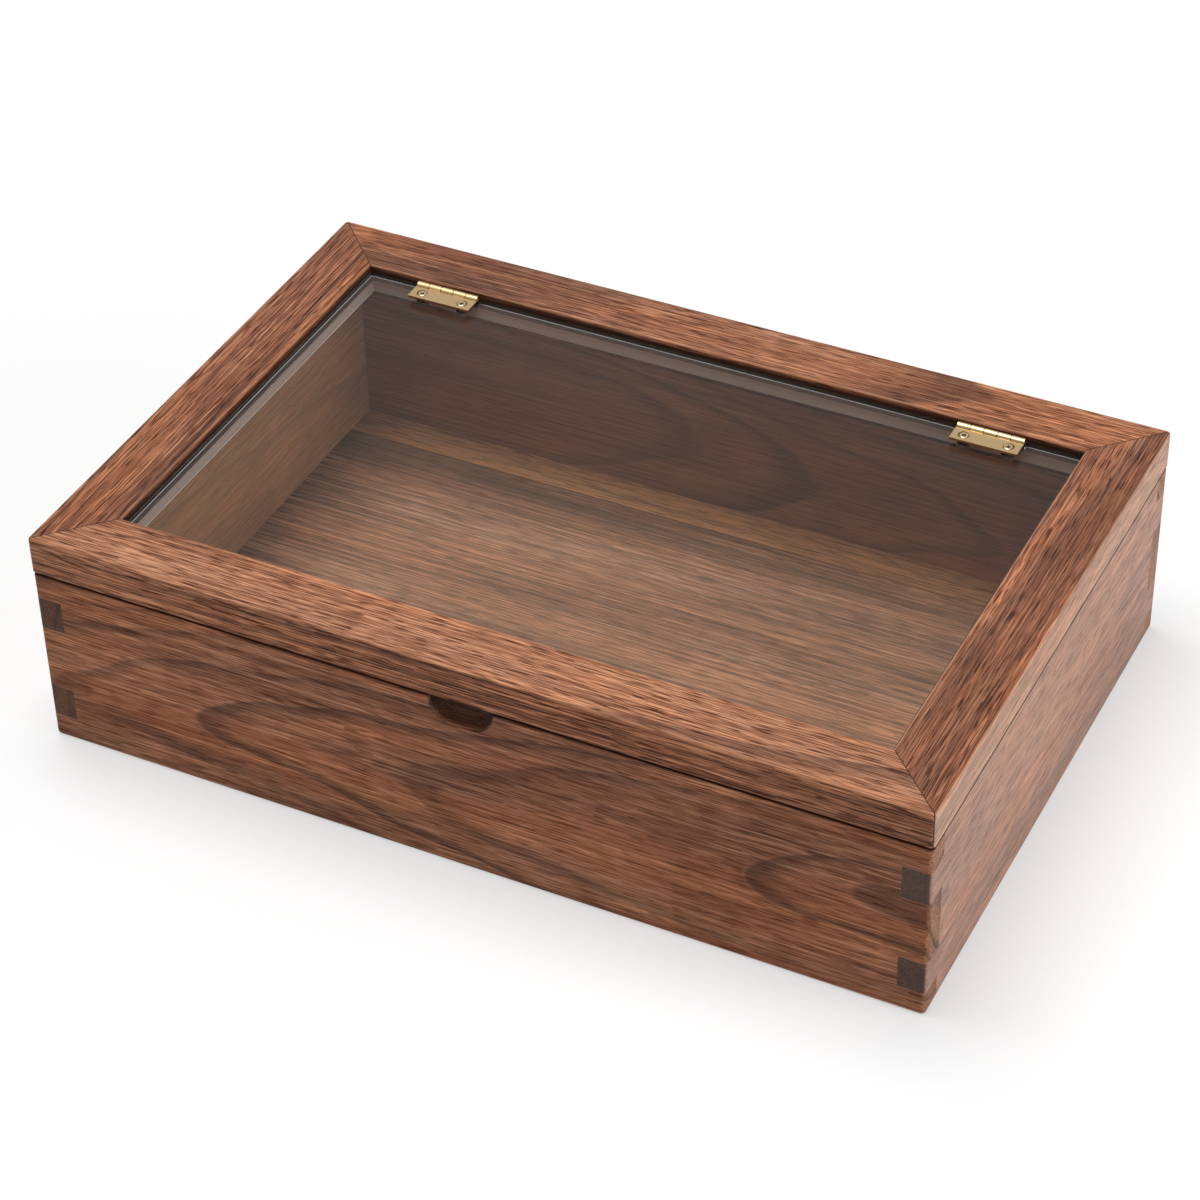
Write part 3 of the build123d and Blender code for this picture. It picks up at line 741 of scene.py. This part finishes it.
def turned(radii, heights, spokes=SPOKES):
    """Points and faces of a closed turned surface. Each ring i is a circle of radius radii[i] round the
    axis at the heights heights[i, spoke]; the first and last ring are single points on the axis."""
    rings = len(radii)
    angle = np.arange(spokes) * 2 * np.pi / spokes
    heights = np.broadcast_to(np.asarray(heights, float).reshape(rings, -1), (rings, spokes))
    circle = np.stack([np.outer(radii, np.cos(angle)), np.outer(radii, np.sin(angle)), heights], -1)
    points = np.concatenate([circle[0, :1], circle[1:-1].reshape(-1, 3), circle[-1, :1]])
    lane = np.arange(spokes)
    beside = (lane + 1) % spokes
    ring = 1 + spokes * np.arange(rings - 3)[:, None]
    quads = np.stack([ring + lane, ring + spokes + lane, ring + spokes + beside, ring + beside], -1)
    last = 1 + spokes * (rings - 3)
    caps = [(0, 1 + i, 1 + j) for i, j in zip(lane, beside)]
    caps += [(len(points) - 1, last + j, last + i) for i, j in zip(lane, beside)]
    faces = [tuple(q) for q in quads.reshape(-1, 4).tolist()]
    return points, faces + [tuple(int(v) for v in c) for c in caps]


def piece(name, parts, body, finish, slot, stands_for, bright=None):
    """One mesh object from several (points, faces), riding on a body in place of a CAD node."""
    shift, points, faces = 0, [], []
    for some_points, some_faces in parts:
        points.append(some_points)
        faces += [tuple(v + shift for v in face) for face in some_faces]
        shift += len(some_points)
    mesh = bpy.data.meshes.new(name)
    mesh.from_pydata(np.concatenate(points).tolist(), [], faces)
    if bright is not None:
        mesh.attributes.new("bright", "FLOAT", "POINT").data.foreach_set("value", bright)
    mesh.shade_smooth()
    mesh.set_sharp_from_angle(angle=math.radians(40))
    mesh.materials.append(finish)
    made = bpy.data.objects.new(name, mesh)
    scene.collection.objects.link(made)
    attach(made, body)
    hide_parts(stands_for)
    return made


# %% [markdown]
# ## The screws
# Each screw's head lies flush in its leaf, and its cross is turned by chance, as a hand leaves it. The
# two sets under the lid are the same screws upside down. Shade is painted in the pit, the cross and the
# rim's fall, and the ring of the head between the rim and the pit is left bright; a mesh attribute
# carries that to the brass finish.

# %% Screws in place of the CAD screws
HEAD, SHANK, HEAD_RINGS = 1.60 * MM, 1.0 * MM, 34
LAND, CONE_DEPTH, TIP = 0.32, 0.92, 0.2
CROSS_ARM, CROSS_HALF, CROSS_DEPTH = 0.85 * MM, 0.22 * MM, 0.55 * MM
PIT, PIT_DEPTH = 0.72 * MM, 0.34 * MM
RIM_START, RIM_FALL = 1.12 * MM, 0.22 * MM
GROUP_GAP = 2 * MM


def cross_arm(along, aside):
    """How deep one arm of the cross is at a point, from 0 to 1: full within its length and width, with
    sloping walls."""
    lengthwise = np.clip((CROSS_ARM - along) / (0.16 * MM), 0, 1)
    return lengthwise * np.clip((CROSS_HALF - aside) / (0.1 * MM), 0, 1)


def screw_surface(length, spin):
    """A countersunk screw with its head's face at height 0 and its tip at -length, its cross turned by
    spin. The face sinks by the rim's fall, which grows as the square of the distance past RIM_START,
    and by the depth of the pit or of the cross, whichever is more. Below the rim come a short land, the
    cone and the shank, at depths in mm. Also gives each point's painted brightness: 1 on the ring
    between the rim and the pit, and 0, painted shade, in the pit, the cross, the rim's fall and on the
    sides."""
    face_radii = np.linspace(0, HEAD, HEAD_RINGS)
    angle = np.arange(SPOKES) * 2 * np.pi / SPOKES - spin
    east, north = np.abs(np.outer(face_radii, np.cos(angle))), np.abs(np.outer(face_radii, np.sin(angle)))
    cross = CROSS_DEPTH * np.maximum(cross_arm(east, north), cross_arm(north, east))
    pit = PIT_DEPTH * np.clip((PIT - face_radii) / (0.3 * MM), 0, 1)[:, None]
    rim = RIM_FALL * np.clip((face_radii - RIM_START) / (HEAD - RIM_START), 0, 1)[:, None] ** 2
    sunk = np.maximum(pit, cross)
    side_radii = np.array([HEAD, SHANK, SHANK, SHANK * 0.8, 0.0])
    side_heights = np.array([-LAND, -CONE_DEPTH, TIP - length / MM, -length / MM, -length / MM]) * MM
    heights = np.concatenate([-rim - sunk, np.repeat(side_heights[:, None], SPOKES, 1)])
    # Painted shade: dull, that is brown, in the pit, the cross and the rim's fall.
    dull = np.clip(sunk / (0.12 * MM), 0, 1) + np.clip(rim / (0.08 * MM) - 0.6, 0, 1)
    bright = np.concatenate([1 - np.clip(dull, 0, 1), np.zeros((len(side_radii), SPOKES))])
    points, faces = turned(np.concatenate([face_radii, side_radii]), heights)
    return points, faces, np.concatenate([bright[0, :1], bright[1:-1].ravel(), bright[-1, :1]])


def node_points(node_name):
    """The CAD node's corners as an array, in metres."""
    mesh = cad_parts[node_name].data
    flat = np.empty(len(mesh.vertices) * 3, np.float32)
    mesh.vertices.foreach_get("co", flat)
    return flat.reshape(-1, 3).astype(float)


def screw_centres(node_name):
    """Middles of the screws in plan: the corners' x values fall into one group per screw, with gaps
    between them."""
    corners = node_points(node_name)
    order = np.sort(corners[:, 0])
    groups = np.split(order, np.flatnonzero(np.diff(order) > GROUP_GAP) + 1)
    middle_y = (corners[:, 1].min() + corners[:, 1].max()) / 2
    return [(float(g[0] + g[-1]) / 2, float(middle_y)) for g in groups]


spins = np.random.default_rng(7)
for node_name, body, facing in (
    ("pane_leaf_screws", "pane", 1),
    ("case_leaf_screws", "case", 1),
    ("lid_leaf_screws", "lid", -1),
    ("rail_leaf_screws", "lid", -1),
):
    low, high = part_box(node_name)
    head_height, length = high.z if facing > 0 else low.z, high.z - low.z
    parts, bright = [], []
    for x, y in screw_centres(node_name):
        points, faces, ring = screw_surface(length, spins.uniform(0, np.pi / 2))
        if facing < 0:
            points = points * (1, -1, -1)
        parts.append((points + (x, y, head_height), faces))
        bright.append(ring)
    piece("turned_" + node_name, parts, body, screw_brass, "screws", node_name, np.concatenate(bright))
    print(node_name, "screws:", len(parts), "length mm:", round(length / MM, 2))

# %% [markdown]
# ## Hinge pins
# A hinge pin is a rod whose ends are peened: hammered into low domes, so that it can't creep out of its
# barrel.

# %% Pins with domed ends
PEEN, DOME_RINGS, PIN_SPOKES = 0.12 * MM, 7, 40


def pin_surface(half, radius):
    """A rod along x from -half to half. Each end is a low dome, an ellipse's arc in profile: as the
    angle opens, the radius grows with its sine while the height falls with its cosine."""
    swell = np.linspace(0, np.pi / 2, DOME_RINGS)
    radii = np.concatenate([np.sin(swell) * radius, np.sin(swell[::-1]) * radius])
    dome = half - PEEN + PEEN * np.cos(swell)
    along = np.concatenate([dome, -dome[::-1]])
    radii[0] = radii[-1] = 0.0
    points, faces = turned(radii, along, PIN_SPOKES)
    return points[:, [2, 0, 1]], faces


for hand in ("left", "right"):
    for kind, body in (("lid", "case"), ("pane", "lid")):
        node_name = f"{hand}_{kind}_hinge_pin"
        low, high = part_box(node_name)
        points, faces = pin_surface((high.x - low.x) / 2, (high.z - low.z) / 2)
        points = points + np.array((low + high) / 2)
        piece("peened_" + node_name, [(points, faces)], body, hinge_brass, "brass", node_name)
print("pins in place, each peened by mm:", round(PEEN / MM, 2))

# %% [markdown]
# ## The floor
# The box stands on a pale sweep. The eye sees a nearly white floor, but only half of that white is
# light that falls on it, and the rest is added for the eye's rays, so that the shadow stays soft.
# Further out, where the lamps reach less, more is added, and the sweep stays white up to the edge of
# the picture.

# %% The floor
MIRRORED = 0.6
CARD, CARD_SEEN = (0.80, 0.80, 0.80), (0.46, 0.46, 0.46)
ADDED_NEAR, ADDED_FAR = 0.49, 0.68
NEAR, FAR = 0.22, 0.7
FLOOR = 4.0


def eye_ray(b):
    """1 for the rays by which the camera sees directly or through glass, and a part of that for
    mirrored ones."""
    path = b.node("LightPath").outputs
    direct = b.maths("MAXIMUM", path["Is Camera Ray"], path["Is Transmission Ray"])
    return b.maths("MAXIMUM", direct, b.maths("MULTIPLY", path["Is Glossy Ray"], MIRRORED))


def pale_floor():
    """White card for the lamps; for the eye a part of that, with the rest of its white added, more of
    it far away, where the lamps reach less."""
    made, b = fresh_material("pale floor")
    eye = eye_ray(b)
    away = b.vector("LENGTH", b.node("TexCoord").outputs["Object"])
    added = b.spread(away, NEAR, FAR, ADDED_NEAR, ADDED_FAR)
    card = b.node("BsdfDiffuse", {"Color": b.blend(eye, CARD, CARD_SEEN)})
    lift = b.node("Emission", {"Color": (1, 1, 1, 1), "Strength": b.maths("MULTIPLY", eye, added)})
    both = b.node("AddShader", {0: card.outputs[0], 1: lift.outputs[0]})
    b.node("OutputMaterial", {"Surface": both.outputs[0]})
    return made


sheet = bpy.data.meshes.new("floor")
corners = [(-FLOOR, -FLOOR, 0), (FLOOR, -FLOOR, 0), (FLOOR, FLOOR, 0), (-FLOOR, FLOOR, 0)]
sheet.from_pydata(corners, [], [(0, 1, 2, 3)])
sheet.materials.append(pale_floor())
floor = bpy.data.objects.new("floor", sheet)
scene.collection.objects.link(floor)
print("floor, m across:", 2 * FLOOR)

# %% [markdown]
# ## The light
# The light is soft and comes from a large lamp at the right, one above, slightly behind and to the
# left, and a weak one in front. The room is bright for the eye and for the mirrors, and dim for the
# wood, which would look flat if the room lit it too.

# %% Lamps and room
ROOM_LIGHT, ROOM_SEEN = 0.16, 0.984
AIM = (0, 0, 0.03)
world = bpy.data.worlds.new("studio")
world.use_nodes = True
world.node_tree.nodes.clear()
sky = Bench(world.node_tree)
glow = sky.spread(eye_ray(sky), 0, 1, ROOM_LIGHT, ROOM_SEEN, False)
room = sky.node("Background", {"Color": (1, 1, 1, 1), "Strength": glow})
sky.node("OutputWorld", {"Surface": room.outputs[0]})
scene.world = world


def softbox(name, place, size, watts):
    """A square lamp that faces the box."""
    lamp = bpy.data.lights.new(name, "AREA")
    lamp.shape, lamp.size, lamp.energy = "SQUARE", size, watts
    made = bpy.data.objects.new(name, lamp)
    made.location = place
    made.rotation_mode = "QUATERNION"
    made.rotation_quaternion = (Vector(AIM) - Vector(place)).to_track_quat("-Z", "Y")
    scene.collection.objects.link(made)


softbox("right lamp", place=(1.45, 0.0, 0.45), size=0.9, watts=14)
softbox("top lamp", place=(-0.25, 0.05, 1.5), size=0.9, watts=21)
softbox("front lamp", place=(-0.9, -1.2, 0.8), size=1.2, watts=2.5)
